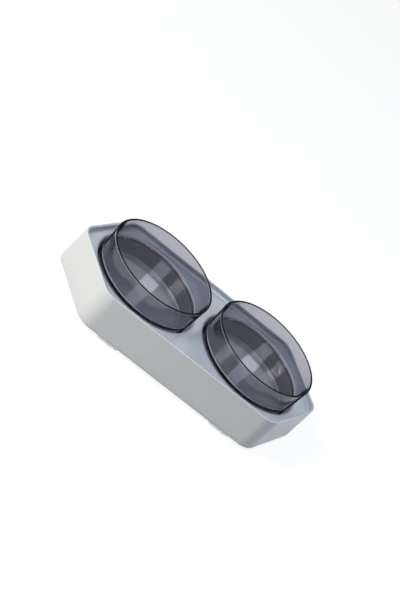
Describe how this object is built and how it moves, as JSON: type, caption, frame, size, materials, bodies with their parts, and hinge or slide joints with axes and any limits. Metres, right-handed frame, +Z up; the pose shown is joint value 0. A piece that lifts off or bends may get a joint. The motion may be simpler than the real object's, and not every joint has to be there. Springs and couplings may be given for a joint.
{
  "type": "double pet bowl",
  "caption": "Six-sided stand with a sunk tray and round pockets, holding clear smoke-grey feeding bowls that lift straight out.",
  "frame": {"origin": "middle of the stand's footprint, on the surface that its pads rest on", "axes": "+X along the stand from the left bowl to the right bowl, +Y from the front to the rear, +Z up"},
  "size_m": [0.3222, 0.1606, 0.0725],
  "materials": {
    "white_plastic": "warm white moulded plastic, satin gloss",
    "tray_plastic": "blue-grey moulded plastic, satin gloss",
    "smoke_clear": "clear plastic with a smoke-grey tint, polished",
    "soft_pad": "soft translucent pale rubber, matte",
    "screw_steel": "plated steel"
  },
  "bodies": {
    "stand": {"outer_casing": "white_plastic", "bowl_tray": "tray_plastic", "base_plate": "white_plastic", "base_screws": "screw_steel", "front_left_pad": "soft_pad", "front_right_pad": "soft_pad", "rear_left_pad": "soft_pad", "rear_right_pad": "soft_pad"},
    "left_bowl": {"left_bowl": "smoke_clear"},
    "right_bowl": {"right_bowl": "smoke_clear"}
  },
  "joints": [
    {"name": "left_bowl_lift", "type": "slide", "parent": "stand", "child": "left_bowl", "axis": [0, 0, 1], "range_m": [0, 0.08]},
    {"name": "right_bowl_lift", "type": "slide", "parent": "stand", "child": "right_bowl", "axis": [0, 0, 1], "range_m": [0, 0.08]}
  ]
}
